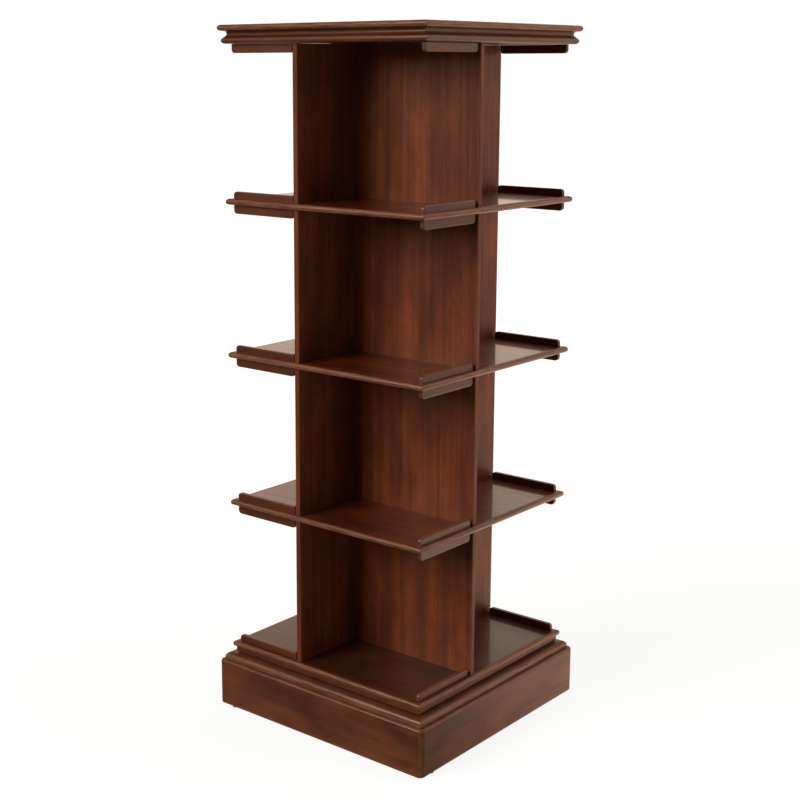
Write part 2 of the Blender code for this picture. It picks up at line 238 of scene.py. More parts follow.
# %% [markdown]
# ## Finishes
# Every board that shows is mahogany under a dark, rubbed polish. Three effects make it: the ribbon
# figure with its fine pores, the wear that lightens arrises and also paints highlights and glints on
# edge tips and mitred corners, and a trace of dust on what faces up.
# Each is a node group, so that every board's material is the same few blocks with its own values.
#
# The figure has to run along each board, so the groups don't read the object's place. They read
# an attribute that every new piece carries, `board`, whose first axis is the board's own length.
# Three helpers make a group, a stretched noise and a mix of two colours.

# %% Helpers for node groups


def new_group(name, inputs, outputs):
    """A shader node group with these named sockets, given as (name, type, default)."""
    group = bpy.data.node_groups.new(name, "ShaderNodeTree")
    for label, kind, value in inputs:
        socket = group.interface.new_socket(label, in_out="INPUT", socket_type=kind)
        if value is not None:
            socket.default_value = value
    for label, kind in outputs:
        group.interface.new_socket(label, in_out="OUTPUT", socket_type=kind)
    return group, group.nodes.new("NodeGroupInput"), group.nodes.new("NodeGroupOutput")


def noise_along(group, vector, stretch, detail, roughness=0.5, distortion=0.0):
    """Noise squeezed by a factor for each axis, so that long streaks run along the first one."""
    mapping = group.nodes.new("ShaderNodeMapping")
    mapping.inputs["Scale"].default_value = stretch
    group.links.new(vector, mapping.inputs["Vector"])
    noise = group.nodes.new("ShaderNodeTexNoise")
    noise.inputs["Scale"].default_value = 1.0
    noise.inputs["Detail"].default_value = detail
    noise.inputs["Roughness"].default_value = roughness
    noise.inputs["Distortion"].default_value = distortion
    group.links.new(mapping.outputs["Vector"], noise.inputs["Vector"])
    return noise.outputs["Fac"]


def blended(group, factor, first, second):
    """A colour mix of two sockets or two fixed colours."""
    node = group.nodes.new("ShaderNodeMix")
    node.data_type = "RGBA"
    for socket, item in ((node.inputs[0], factor), (node.inputs[6], first), (node.inputs[7], second)):
        if isinstance(item, (int, float, tuple)):
            socket.default_value = item
        else:
            group.links.new(item, socket)
    return node.outputs[2]


# %% [markdown]
# ### Mahogany figure
# Ribbon-cut mahogany shows broad light and dark stripes where the fibres lean to and fro, thin
# streaks between them, soft patches that are redder or paler, and short dark pores. Four noises
# at four scales give them, each stretched along the board.

# %% Mahogany figure
STREAK_SHARE, STREAK_HEIGHT = 0.26, 0.25
PORE_COLOUR = (0.012, 0.005, 0.004)

figure_group, figure_in, figure_out = new_group(
    "mahogany_figure",
    [
        ("Board", "NodeSocketVector", None),
        ("Light Wood", "NodeSocketColor", (0.20, 0.05, 0.02, 1)),
        ("Red Wood", "NodeSocketColor", (0.16, 0.03, 0.01, 1)),
        ("Dark Wood", "NodeSocketColor", (0.07, 0.016, 0.007, 1)),
        ("Ribbon", "NodeSocketFloat", 0.5),
        ("Mottle", "NodeSocketFloat", 0.3),
        ("Pores", "NodeSocketFloat", 0.5),
    ],
    [("Color", "NodeSocketColor"), ("Height", "NodeSocketFloat"), ("Streak", "NodeSocketFloat")],
)
board_place = figure_in.outputs["Board"]
ribbon = noise_along(figure_group, board_place, (0.8, 70, 70), 3, 0.55, 0.5)
ribbon = graded(figure_group, ribbon, 0.30, 0.70)
streak = noise_along(figure_group, board_place, (4.5, 330, 330), 4, 0.65)
streak = graded(figure_group, streak, 0.25, 0.75)
mottle = noise_along(figure_group, board_place, (7, 16, 16), 3, 0.5, 0.4)
mottle = graded(figure_group, mottle, 0.28, 0.72)
pore = noise_along(figure_group, board_place, (45, 1500, 1500), 1)
pore = graded(figure_group, pore, 0.60, 0.72)
tone = combined(figure_group, "MULTIPLY", ribbon, figure_in.outputs["Ribbon"])
streak_part = combined(figure_group, "MULTIPLY", streak, STREAK_SHARE)
tone = combined(figure_group, "ADD", tone, streak_part)
mottle_part = combined(figure_group, "MULTIPLY", mottle, figure_in.outputs["Mottle"])
tone = combined(figure_group, "ADD", tone, mottle_part)
pale = blended(
    figure_group, mottle, figure_in.outputs["Red Wood"], figure_in.outputs["Light Wood"]
)
wood = blended(figure_group, tone, figure_in.outputs["Dark Wood"], pale)
pore_depth = combined(figure_group, "MULTIPLY", pore, figure_in.outputs["Pores"])
wood = blended(figure_group, pore_depth, wood, (*PORE_COLOUR, 1))
figure_group.links.new(wood, figure_out.inputs["Color"])
figure_group.links.new(streak, figure_out.inputs["Streak"])
streak_height = combined(figure_group, "MULTIPLY", streak, STREAK_HEIGHT)
height = combined(figure_group, "SUBTRACT", streak_height, pore_depth)
figure_group.links.new(height, figure_out.inputs["Height"])
print("figure group with", len(figure_group.nodes), "nodes")

# %% [markdown]
# ### Wear, painted highlights and dust
# Polish thins where hands and cloths rub, first along the arrises. Each piece carries an attribute
# that is highest on its arrises and falls to 0 a few millimetres in, and noise breaks the line up.
# Along the tips of nosings and mouldings, and fully at their mitred corners, this mark is partly wear
# and partly a painted highlight and glint. Dust needs no attribute: it lies in faint drifts on
# whatever faces up.

# %% Wear, painted highlights and dust
# The mask is wear on the arrises; along nosing and moulding tips, and fully at mitred corners, it also
# paints a highlight and glint.
wear_and_highlight_group, wear_and_highlight_in, wear_and_highlight_out = new_group(
    "edge_wear_and_highlight",
    [
        ("Board", "NodeSocketVector", None),
        ("Arris", "NodeSocketFloat", 0.0),
        ("Amount", "NodeSocketFloat", 0.5),
    ],
    [("Mask", "NodeSocketFloat")],
)
patches = noise_along(wear_and_highlight_group, wear_and_highlight_in.outputs["Board"], (22, 420, 420), 4, 0.65)
patches = graded(wear_and_highlight_group, patches, 0.34, 0.66, 0.10, 1.0)
wear_and_highlight_mask = graded(wear_and_highlight_group, wear_and_highlight_in.outputs["Arris"], 0.35, 1.0)
wear_and_highlight_mask = combined(wear_and_highlight_group, "MULTIPLY", wear_and_highlight_mask, patches)
wear_and_highlight_mask = combined(wear_and_highlight_group, "MULTIPLY", wear_and_highlight_mask, wear_and_highlight_in.outputs["Amount"])
wear_and_highlight_group.links.new(wear_and_highlight_mask, wear_and_highlight_out.inputs["Mask"])

dust_group, dust_in, dust_out = new_group(
    "settled_dust", [("Amount", "NodeSocketFloat", 0.3)], [("Mask", "NodeSocketFloat")]
)
surface = dust_group.nodes.new("ShaderNodeNewGeometry")
facing = dust_group.nodes.new("ShaderNodeSeparateXYZ")
dust_group.links.new(surface.outputs["Normal"], facing.inputs[0])
upward = graded(dust_group, facing.outputs["Z"], 0.7, 1.0)
own_place = dust_group.nodes.new("ShaderNodeTexCoord").outputs["Object"]
drifts = graded(dust_group, noise_along(dust_group, own_place, (14, 14, 14), 4, 0.6), 0.35, 0.75)
settled = combined(dust_group, "MULTIPLY", upward, drifts)
settled = combined(dust_group, "MULTIPLY", settled, dust_in.outputs["Amount"])
dust_group.links.new(settled, dust_out.inputs["Mask"])
print("wear and dust groups ready")

# %% [markdown]
# ### Wood materials
# The Principled shader stays in each material. The base layer is the stained wood and is fairly
# rough. The coat over it is the polish, which is smoother and gives the sheen. The panels have
# little polish left and the shelves most. The glue blocks are softwood that was never finished.

# %% Wood materials
# The pale colour of rubbed, bare wood; on edge tips and mitred corners it also paints highlights and
# glints.
BARE_WOOD_AND_HIGHLIGHT = (0.36, 0.155, 0.095)
DUST_COLOUR = (0.30, 0.27, 0.23)
STREAK_ROUGHER, STREAK_SMOOTHER = 0.06, 0.04
WEAR_ROUGHENS, DUST_ROUGHENS = 0.15, 0.5
GRAIN_STRENGTH, GRAIN_DEPTH = 0.25, 0.0003
WOOD_SPECULAR = 0.35


def group_node(tree, group, **values):
    """A group in a material, with its named inputs set (a space in a name is written as _)."""
    node = tree.nodes.new("ShaderNodeGroup")
    node.node_tree = group
    for label, value in values.items():
        node.inputs[label.replace("_", " ")].default_value = value
    return node


def mahogany(name, light, red, dark, ribbon, mottle, roughness, coat, coat_roughness, wear_and_highlight, dust):
    """A wood finish: three colours, its figure, its base and coat, its wear with painted highlights, and
    its dust.
    """
    material = bpy.data.materials.new(name)
    material.use_nodes = True
    tree = material.node_tree
    shader = tree.nodes["Principled BSDF"]
    board = tree.nodes.new("ShaderNodeAttribute")
    board.attribute_name = "board"
    arris = tree.nodes.new("ShaderNodeAttribute")
    arris.attribute_name = "wear_and_highlight"
    figure = group_node(
        tree,
        figure_group,
        Light_Wood=(*light, 1),
        Red_Wood=(*red, 1),
        Dark_Wood=(*dark, 1),
        Ribbon=ribbon,
        Mottle=mottle,
    )
    wear_and_highlight_node = group_node(tree, wear_and_highlight_group, Amount=wear_and_highlight)
    dusty = group_node(tree, dust_group, Amount=dust)
    tree.links.new(board.outputs["Vector"], figure.inputs["Board"])
    tree.links.new(board.outputs["Vector"], wear_and_highlight_node.inputs["Board"])
    tree.links.new(arris.outputs["Fac"], wear_and_highlight_node.inputs["Arris"])
    # Mixing toward the pale colour shows wear, and on tips and corners a painted highlight and glint.
    colour = blended(tree, wear_and_highlight_node.outputs["Mask"], figure.outputs["Color"], (*BARE_WOOD_AND_HIGHLIGHT, 1))
    colour = blended(tree, dusty.outputs["Mask"], colour, (*DUST_COLOUR, 1))
    tree.links.new(colour, shader.inputs["Base Color"])
    roughest, smoothest = roughness + STREAK_ROUGHER, roughness - STREAK_SMOOTHER
    rough = graded(tree, figure.outputs["Streak"], 0.0, 1.0, roughest, smoothest)
    for mask, amount in ((wear_and_highlight_node.outputs["Mask"], WEAR_ROUGHENS), (dusty.outputs["Mask"], DUST_ROUGHENS)):
        rough = combined(tree, "ADD", rough, combined(tree, "MULTIPLY", mask, amount))
    tree.links.new(rough, shader.inputs["Roughness"])
    bump = tree.nodes.new("ShaderNodeBump")
    bump.inputs["Strength"].default_value = GRAIN_STRENGTH
    bump.inputs["Distance"].default_value = GRAIN_DEPTH
    tree.links.new(figure.outputs["Height"], bump.inputs["Height"])
    tree.links.new(bump.outputs["Normal"], shader.inputs["Normal"])
    shader.inputs["Specular IOR Level"].default_value = WOOD_SPECULAR
    shader.inputs["Coat Weight"].default_value = coat
    shader.inputs["Coat Roughness"].default_value = coat_roughness
    return material


wood_values = {
    "panel_mahogany": dict(
        light=(0.320, 0.080, 0.026), red=(0.225, 0.043, 0.014), dark=(0.080, 0.018, 0.008),
        ribbon=0.44, mottle=0.34, roughness=0.52, coat=0.11, coat_roughness=0.16, wear_and_highlight=0.30, dust=0.04,
    ),
    "shelf_mahogany": dict(
        light=(0.250, 0.050, 0.016), red=(0.190, 0.030, 0.009), dark=(0.070, 0.014, 0.006),
        ribbon=0.44, mottle=0.34, roughness=0.36, coat=0.70, coat_roughness=0.08, wear_and_highlight=0.30, dust=0.03,
    ),
    # A darker copy of the shelf finish, which paints the shade on the lowest board.
    "shaded_bottom_shelf_mahogany": dict(
        light=(0.120, 0.030, 0.013), red=(0.095, 0.021, 0.009), dark=(0.045, 0.012, 0.006),
        ribbon=0.40, mottle=0.34, roughness=0.36, coat=0.60, coat_roughness=0.08, wear_and_highlight=0.30, dust=0.05,
    ),
    "edge_mahogany": dict(
        light=(0.200, 0.056, 0.023), red=(0.165, 0.039, 0.015), dark=(0.085, 0.024, 0.010),
        ribbon=0.34, mottle=0.36, roughness=0.40, coat=0.42, coat_roughness=0.10, wear_and_highlight=0.85, dust=0.05,
    ),
    "plinth_mahogany": dict(
        light=(0.235, 0.068, 0.027), red=(0.165, 0.037, 0.014), dark=(0.070, 0.019, 0.009),
        ribbon=0.24, mottle=0.62, roughness=0.38, coat=0.36, coat_roughness=0.16, wear_and_highlight=0.60, dust=0.05,
    ),
    "raw_softwood": dict(
        light=(0.520, 0.330, 0.160), red=(0.470, 0.270, 0.120), dark=(0.300, 0.150, 0.060),
        ribbon=0.50, mottle=0.20, roughness=0.72, coat=0.00, coat_roughness=0.30, wear_and_highlight=0.20, dust=0.05,
    ),
}
WOODS = {name: mahogany(name, **values) for name, values in wood_values.items()}
print("wood finishes:", ", ".join(WOODS))

# %% [markdown]
# ## Tools of the bench
# The same few operations make every board: a block with softened arrises, a length of moulding
# mitred at both ends, and a cut made with another solid. The mouldings are made once for the
# front, and a quarter turn each takes them to the other three faces.

# %% Shaping
FACES = ("front", "right", "back", "left")
MITRE_GAP = 0.00008
MITRE_VEE = 0.00035
EASED_CORNER = 0.0022
SPARE = 0.001


def rounded(shape, edges, radius, segments):
    """Rounds these edges over."""
    bmesh.ops.bevel(
        shape,
        geom=edges,
        affect="EDGES",
        offset=radius,
        segments=segments,
        profile=0.5,
        material=-1,
    )


def soft_block(low, high, arris, segments=3):
    """A block between two corners, with every edge rounded over."""
    low, high = Vector(low), Vector(high)
    shape = bmesh.new()
    bmesh.ops.create_cube(shape, size=1)
    bmesh.ops.scale(shape, vec=high - low, verts=shape.verts)
    bmesh.ops.translate(shape, vec=(low + high) / 2, verts=shape.verts)
    if arris:
        rounded(shape, shape.edges[:], arris, segments)
    return shape


def mitred_length(section, vee=MITRE_VEE):
    """A length along the front from a (distance out, height) section, mitred to meet its neighbours.

    A tiny vee along each mitre gives the fine line that a real one shows."""
    shape = bmesh.new()
    start = [shape.verts.new((MITRE_GAP - out, -out, height)) for out, height in section]
    face = shape.faces.new(start)
    run = bmesh.ops.extrude_face_region(shape, geom=[face])["geom"]
    for vert in run:
        if isinstance(vert, bmesh.types.BMVert):
            vert.co.x = -vert.co.x
    bmesh.ops.recalc_face_normals(shape, faces=shape.faces)
    if vee:
        ends = [
            face
            for face in shape.faces
            if abs(face.normal.x) > 0.5 and len(face.verts) == len(section)
        ]
        rim = {edge for end in ends for edge in end.edges}
        rounded(shape, list(rim), vee, 1)
    return shape


def arc(centre, radius, start, end, steps):
    """(distance out, height) points on an arc, from start to end degrees."""
    points = []
    for step in range(steps + 1):
        angle = math.radians(start + (end - start) * step / steps)
        points.append((centre[0] + radius * math.cos(angle), centre[1] + radius * math.sin(angle)))
    return points


def carved(shape, cutter, operation="DIFFERENCE"):
    """The shape after an exact Boolean with the cutter. Both are used up."""
    made = []
    for label, bm in (("carved", shape), ("cutter", cutter)):
        mesh = bpy.data.meshes.new(label)
        bm.to_mesh(mesh)
        bm.free()
        made.append(bpy.data.objects.new(label, mesh))
        bpy.context.scene.collection.objects.link(made[-1])
    boolean = made[0].modifiers.new("carve", "BOOLEAN")
    boolean.operation, boolean.object, boolean.solver = operation, made[1], "EXACT"
    graph = bpy.context.evaluated_depsgraph_get()
    result = bmesh.new()
    result.from_object(made[0], graph)
    for obj in made:
        mesh = obj.data
        bpy.data.objects.remove(obj)
        bpy.data.meshes.remove(mesh)
    return result


def rounded_block(low, high, corner, rims=()):
    """A block with its four upright edges rounded, then the rims at the given heights."""
    shape = soft_block(low, high, 0)
    upright = [edge for edge in shape.edges if abs(edge.verts[0].co.z - edge.verts[1].co.z) > 1e-4]
    rounded(shape, upright, corner, 12)
    for height, radius in rims:
        rim = [
            edge for edge in shape.edges if all(abs(vert.co.z - height) < 1e-5 for vert in edge.verts)
        ]
        rounded(shape, rim, radius, 5)
    return shape


def eased_corners(shape, half, low, high):
    """The shape, kept within a square with rounded corners, as hand and cloth wear a mitre's tip."""
    block = rounded_block((-half, -half, low - SPARE), (half, half, high + SPARE), EASED_CORNER)
    return carved(shape, block, "INTERSECT")


print("shaping tools ready")

# %% [markdown]
# ### Marking and placing
# After shaping, each piece is marked with two attributes. `board` holds each point's place along,
# across and through its own board, from a start of its own, so that no two boards show the same
# figure. The other is up to 1 on an arris and 0 on a flat: it is wear, and on the tips of the
# nosings and mouldings and at their mitred corners it is also a painted highlight and glint. It
# belongs to points, so a loop is first cut just inside each edge, or the wear would fade across the
# whole face. Then the piece is made an object and set to ride on its part of the rack.

# %% Marking and placing
WEAR_BAND = 0.004
ARRIS_REACH = 0.0026


def add_wear_band(shape, band=WEAR_BAND, reach=ARRIS_REACH, most=1.0):
    """Cuts a loop just inside every edge of a board, and marks the arrises, but not the faces."""
    low = [min(vert.co[axis] for vert in shape.verts) for axis in range(3)]
    high = [max(vert.co[axis] for vert in shape.verts) for axis in range(3)]
    for axis in range(3):
        inset = min(band, (high[axis] - low[axis]) * 0.3)
        for place in (low[axis] + inset, high[axis] - inset):
            point, normal = Vector(), Vector()
            point[axis], normal[axis] = place, 1
            geometry = shape.verts[:] + shape.edges[:] + shape.faces[:]
            bmesh.ops.bisect_plane(shape, geom=geometry, plane_co=point, plane_no=normal)

    def on_arris(place):
        near = sum(min(place[i] - low[i], high[i] - place[i]) < reach for i in range(3))
        return most if near >= 2 else 0.0

    return mark_wear_and_highlight(shape, on_arris)


def mark_wear_and_highlight(shape, rule):
    """Sets each point's wear, with the painted highlight that some rules add, from a rule on its place."""
    layer = shape.verts.layers.float.get("wear_and_highlight") or shape.verts.layers.float.new("wear_and_highlight")
    for vert in shape.verts:
        vert[layer] = rule(vert.co)
    return shape


def mark_board(shape, name, along):
    """Gives each point its place along, across and through its own board, from a random start."""
    chance = random.Random(name)
    start = Vector([chance.uniform(0, 40) for _ in range(3)])
    across = [axis for axis in range(3) if axis != along]
    layer = shape.verts.layers.float_vector.new("board")
    for vert in shape.verts:
        place = Vector((vert.co[along], vert.co[across[0]], vert.co[across[1]]))
        vert[layer] = place + start


made_pieces = {}


def piece(name, shape, along, wood, stands_for=(), body="case", turn=0, finish=None):
    """Turns the shape to its face, marks it, and puts it on its body in place of its CAD nodes."""
    if "wear_and_highlight" not in shape.verts.layers.float:
        shape.verts.layers.float.new("wear_and_highlight")
    mark_board(shape, name, along)
    bmesh.ops.rotate(shape, matrix=Matrix.Rotation(turn * math.pi / 2, 3, "Z"), verts=shape.verts)
    mesh = bpy.data.meshes.new(name)
    shape.to_mesh(mesh)
    shape.free()
    mesh.materials.append(WOODS[finish or wood])
    mesh.shade_smooth()
    mesh.set_sharp_from_angle(angle=math.radians(32))
    obj = bpy.data.objects.new(name, mesh)
    bpy.context.scene.collection.objects.link(obj)
    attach(obj, body)
    if stands_for:
        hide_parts(*stands_for)
    made_pieces[name] = obj


print("bench tools ready")

# %% [markdown]
# ## Upright panels
# Four panels in each tier make a pinwheel round a hollow shaft. Their front edges are the
# slim vertical lines of the rack, so these are rounded over and the hidden ones are left square.
# The grain stands upright.

# %% Upright panels
PANEL_FRONT_ARRIS = 0.0016
TIERS = 4

for tier in range(1, TIERS + 1):
    for turn, face in enumerate(FACES):
        low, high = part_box(f"panel_tier{tier}_front")
        shape = soft_block(low, high, 0)
        front = [
            edge
            for edge in shape.edges
            if all(vert.co.y < low.y + 1e-4 for vert in edge.verts)
            and abs(edge.verts[0].co.z - edge.verts[1].co.z) > 0.1
        ]
        rounded(shape, front, PANEL_FRONT_ARRIS, 4)
        add_wear_band(shape)
        name = f"upright_{tier}_{face}"
        piece(name, shape, 2, "panel_mahogany", [f"panel_tier{tier}_{face}"], turn=turn)
print(len(made_pieces), "panels")

# %% [markdown]
# ## Shelves
# A shelf is a flat board with a half-round nosing glued to each edge and mitred at the corners.
# The nosing hides the board's end grain and the slots that the lips pass through. The board's
# slots and its clearance hole for the post are cut with a Boolean, as a maker would chop them.
# The bottom shelf needs no slots, because its lips only stand on it. It takes a darker copy of the
# shelf finish, which paints the shade that falls on the lowest board.

# %% Shelves
# Along each nosing's tip the paler colour is partly wear and partly a painted highlight; at the mitred
# corners it is a painted glint as well as wear.
NOSING_DEPTH, NOSING_WEAR_AND_HIGHLIGHT_BAND = 0.0092, 0.0035
CORNER_WEAR_AND_GLINT_REACH, TIP_WEAR_AND_HIGHLIGHT = 0.004, 0.62
BOARD_GAP = 0.0001
POST_HOLE = 0.015
SLOT_CLEARANCE = Vector((0.0002, 0.0002, 0))
CUTTER_HEIGHT = 0.1


def bore_cutter(radius, height, segments):
    """A tall cylinder round the rack's axis, about this height."""
    cutter = bmesh.new()
    bmesh.ops.create_cone(
        cutter,
        cap_ends=True,
        segments=segments,
        radius1=radius,
        radius2=radius,
        depth=CUTTER_HEIGHT,
        matrix=Matrix.Translation((0, 0, height)),
    )
    return cutter


def slot_cutter(low, high, lip):
    """A cutter for the four lip slots."""
    lip_low, lip_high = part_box(lip)
    cutter = bmesh.new()
    for turn in range(len(FACES)):
        block = bmesh.ops.create_cube(cutter, size=1)["verts"]
        size = lip_high - lip_low + 2 * SLOT_CLEARANCE
        size.z = CUTTER_HEIGHT
        bmesh.ops.scale(cutter, vec=size, verts=block)
        middle = (lip_low + lip_high) / 2
        middle.z = (low + high) / 2
        bmesh.ops.translate(cutter, vec=middle, verts=block)
        bmesh.ops.rotate(cutter, matrix=Matrix.Rotation(turn * math.pi / 2, 3, "Z"), verts=block)
    return cutter


def tip_wear_and_highlight(place, out, wear_and_highlight_from, along=TIP_WEAR_AND_HIGHLIGHT):
    """Wear along the tip of an edge, partly a painted highlight, and full paleness at its two mitred
    corners, partly a painted glint.
    """
    if abs(place.x) > out - CORNER_WEAR_AND_GLINT_REACH:
        return 1.0
    return along if -place.y > wear_and_highlight_from else 0.0


def nosing_section(out, low, high):
    """A half round on the front of a flat strip."""
    radius = (high - low) / 2
    nose = arc((out - radius, (low + high) / 2), radius, -90, 90, 14)
    return [(out - NOSING_DEPTH, low), *nose, (out - NOSING_DEPTH, high)]


for level, node_name in enumerate(("bottom_shelf", "shelf_1", "shelf_2", "shelf_3")):
    low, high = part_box(node_name)
    half = high.x - NOSING_DEPTH - BOARD_GAP
    shape = soft_block((-half, -half, low.z), (half, half, high.z), 0)
    shape = carved(shape, bore_cutter(POST_HOLE, low.z, 48))
    if level:
        shape = carved(shape, slot_cutter(low.z, high.z, f"lip_{level}_front"))
    # The bottom board gets the darker copy: painted shade.
    finish = None if level else "shaded_bottom_shelf_mahogany"
    piece(f"shelf_board_{level}", shape, 0, "shelf_mahogany", [node_name], finish=finish)
    for turn, face in enumerate(FACES):
        shape = mitred_length(nosing_section(high.x, low.z, high.z))
        shape = eased_corners(shape, high.x, low.z, high.z)
        # Pale tip and corners: wear with a painted highlight and glint.
        mark_wear_and_highlight(shape, lambda place: tip_wear_and_highlight(place, high.x, high.x - NOSING_WEAR_AND_HIGHLIGHT_BAND))
        piece(f"nosing_{level}_{face}", shape, 0, "edge_mahogany", [node_name], turn=turn)
print(len(made_pieces), "pieces with the shelves")

# %% [markdown]
# ## Lips
# A low lip keeps books from sliding off the half of each face that has no panel behind it. On the
# upper shelves it is one board that stands above the shelf and hangs below it.

# %% Lips
LIP_CORNER, LIP_ARRIS, LIP_WEAR = 0.0065, 0.0009, 0.62


def lip(low, high, round_low, round_high):
    """A thin board on edge, with the corners of its lower or upper side rounded, or of both."""
    shape = soft_block(low, high, 0)
    middle = (low.z + high.z) / 2
    corners = [
        edge
        for edge in shape.edges
        if abs(edge.verts[0].co.y - edge.verts[1].co.y) > 0.001
        and (round_high if edge.verts[0].co.z > middle else round_low)
    ]
    rounded(shape, corners, LIP_CORNER, 8)
    outline = [edge for edge in shape.edges if edge.calc_face_angle(0) > math.radians(60)]
    rounded(shape, outline, LIP_ARRIS, 3)
    return add_wear_band(shape, most=LIP_WEAR)


lip_levels = {
    "bottom_lip": (False, True),
    "lip_1": (True, True),
    "lip_2": (True, True),
    "lip_3": (True, True),
    "top_lip": (True, False),
}
for label, round_ends in lip_levels.items():
    for turn, face in enumerate(FACES):
        shape = lip(*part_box(label + "_front"), *round_ends)
        piece(f"rail_{label}_{face}", shape, 0, "edge_mahogany", [f"{label}_{face}"], turn=turn)
print(len(made_pieces), "pieces with the lips")

# %% [markdown]
# ## Top
# Four lengths of moulding frame a flat board. The section is a bead, a hollow and a second bead
# that is set in a little. It is drawn as arcs, so that each bead is truly round.

# %% Top
top_low, top_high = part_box("top_moulding_front")
board_low, board_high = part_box("top_board")
TOP_OUT = -top_low.y
UPPER_BEAD, LOWER_BEAD = 0.0105, 0.0114
LOWER_SET_IN, HOLLOW_SET_IN = 0.0049, 0.0123
FILLET = 0.0008
# Along the beads the paler colour is partly wear and partly a painted highlight, with a painted glint at
# the mitred corners; the upper bead gets less and stays darker.
CORNICE_VEE, CORNICE_WEAR_AND_HIGHLIGHT_BAND = 0.0006, 0.0022
LOWER_BEAD_WEAR_AND_HIGHLIGHT, UPPER_BEAD_WEAR_AND_HIGHLIGHT = 0.55, 0.4
HIDDEN_ARRIS = 0.0004


def top_section():
    """From the underside's inner corner, out and up round the edge, and back over the top."""
    inner = board_high.x + BOARD_GAP
    low_radius, high_radius = LOWER_BEAD / 2, UPPER_BEAD / 2
    low_centre = (TOP_OUT - LOWER_SET_IN - low_radius, top_low.z + low_radius)
    low_bead = arc(low_centre, low_radius, -90, 78, 11)
    high_bead = arc((TOP_OUT - high_radius, top_high.z - high_radius), high_radius, -82, 90, 11)
    hollow_low = top_low.z + LOWER_BEAD + FILLET
    hollow_high = top_high.z - UPPER_BEAD - FILLET * 0.4
    radius = (hollow_high - hollow_low) / 2
    centre = (TOP_OUT - HOLLOW_SET_IN + radius, (hollow_low + hollow_high) / 2)
    hollow = arc(centre, radius, 262, 98, 9)
    return [(inner, top_low.z), *low_bead, *hollow, *high_bead, (inner, top_high.z)]


def cornice_wear_and_highlight(place):
    """The lower bead is paled more than the upper one, which stays darker. The paleness is partly wear and
    partly a painted highlight, with a painted glint at the mitred corners.
    """
    along = LOWER_BEAD_WEAR_AND_HIGHLIGHT if place.z < (top_low.z + top_high.z) / 2 else UPPER_BEAD_WEAR_AND_HIGHLIGHT
    return tip_wear_and_highlight(place, TOP_OUT, TOP_OUT - LOWER_SET_IN - CORNICE_WEAR_AND_HIGHLIGHT_BAND, along)


for turn, face in enumerate(FACES):
    shape = mitred_length(top_section(), vee=CORNICE_VEE)
    mark_wear_and_highlight(shape, cornice_wear_and_highlight)
    piece(f"cornice_{face}", shape, 0, "edge_mahogany", [f"top_moulding_{face}"], turn=turn)
shape = soft_block(board_low, board_high, HIDDEN_ARRIS, 1)
piece("top_panel", shape, 0, "shelf_mahogany", ["top_board"])
print("top", round(2 * TOP_OUT, 4), "m square")

# %% [markdown]
# ## Base
# Plinth boards are mitred at the corners and then rounded over, upright corners and top edge
# together. That is easy to cut from a single soft-cornered block: each mitred plank keeps only
# what lies inside it. A board closes the plinth. Its edge is a quarter round, under the gap that
# lets the case turn.

# %% Base
plinth_low, plinth_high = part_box("plinth_board_front")
PLINTH_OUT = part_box("plinth_board_right")[1].x
PLINTH_THICK = plinth_high.y - plinth_low.y
PLINTH_INNER = PLINTH_OUT - PLINTH_THICK
PLINTH_CORNER, PLINTH_ROUND, PLINTH_FOOT_ROUND = 0.010, 0.0045, 0.0022
PLINTH_WEAR_BAND, PLINTH_ARRIS_REACH = 0.009, 0.0038
PLANK_SPARE = 0.01

plank = [
    (PLINTH_INNER, plinth_low.z - PLANK_SPARE),
    (PLINTH_OUT + PLANK_SPARE, plinth_low.z - PLANK_SPARE),
    (PLINTH_OUT + PLANK_SPARE, plinth_high.z + PLANK_SPARE),
    (PLINTH_INNER, plinth_high.z + PLANK_SPARE),
]
for turn, face in enumerate(FACES):
    envelope = rounded_block(
        (-PLINTH_OUT, -PLINTH_OUT, plinth_low.z),
        (PLINTH_OUT, PLINTH_OUT, plinth_high.z),
        PLINTH_CORNER,
        ((plinth_high.z, PLINTH_ROUND), (plinth_low.z, PLINTH_FOOT_ROUND)),
    )
    shape = carved(mitred_length(plank, vee=0), envelope, "INTERSECT")
    add_wear_band(shape, band=PLINTH_WEAR_BAND, reach=PLINTH_ARRIS_REACH)
    piece(
        f"plinth_{face}", shape, 0, "plinth_mahogany", [f"plinth_board_{face}"], body="base", turn=turn
    )

base_low, base_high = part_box("base_board")
MOULD_WIDTH, BASE_ROUND = 0.030, 0.0095
# Along the moulding's tip the paler colour is partly wear and partly a painted highlight, with a painted
# glint at the mitred corners.
BASE_WEAR_AND_HIGHLIGHT_BAND, BASE_WEAR_AND_HIGHLIGHT = 0.003, 0.48


def base_section():
    """A low upright edge under a quarter round, which falls away from the running gap."""
    out, bottom, top = base_high.x, base_low.z, base_high.z
    crown = arc((out - BASE_ROUND, top - BASE_ROUND), BASE_ROUND, 0, 90, 10)
    inner = out - MOULD_WIDTH
    return [(inner, bottom), (out, bottom), *crown, (inner, top)]


for turn, face in enumerate(FACES):
    shape = mitred_length(base_section())
    shape = eased_corners(shape, base_high.x, base_low.z, base_high.z)
    # The moulding's tip and corners: wear with a painted highlight and glint.
    wear_and_highlight_from = base_high.x - BASE_WEAR_AND_HIGHLIGHT_BAND
    mark_wear_and_highlight(shape, lambda place: tip_wear_and_highlight(place, base_high.x, wear_and_highlight_from, BASE_WEAR_AND_HIGHLIGHT))
    piece(
        f"base_moulding_{face}", shape, 0, "edge_mahogany", ["base_board"], body="base", turn=turn
    )
half = base_high.x - MOULD_WIDTH - BOARD_GAP
shape = soft_block((-half, -half, base_low.z), (half, half, base_high.z), HIDDEN_ARRIS, 1)
piece("base_panel", shape, 0, "shelf_mahogany", ["base_board"], body="base")
print(len(made_pieces), "pieces with the base")

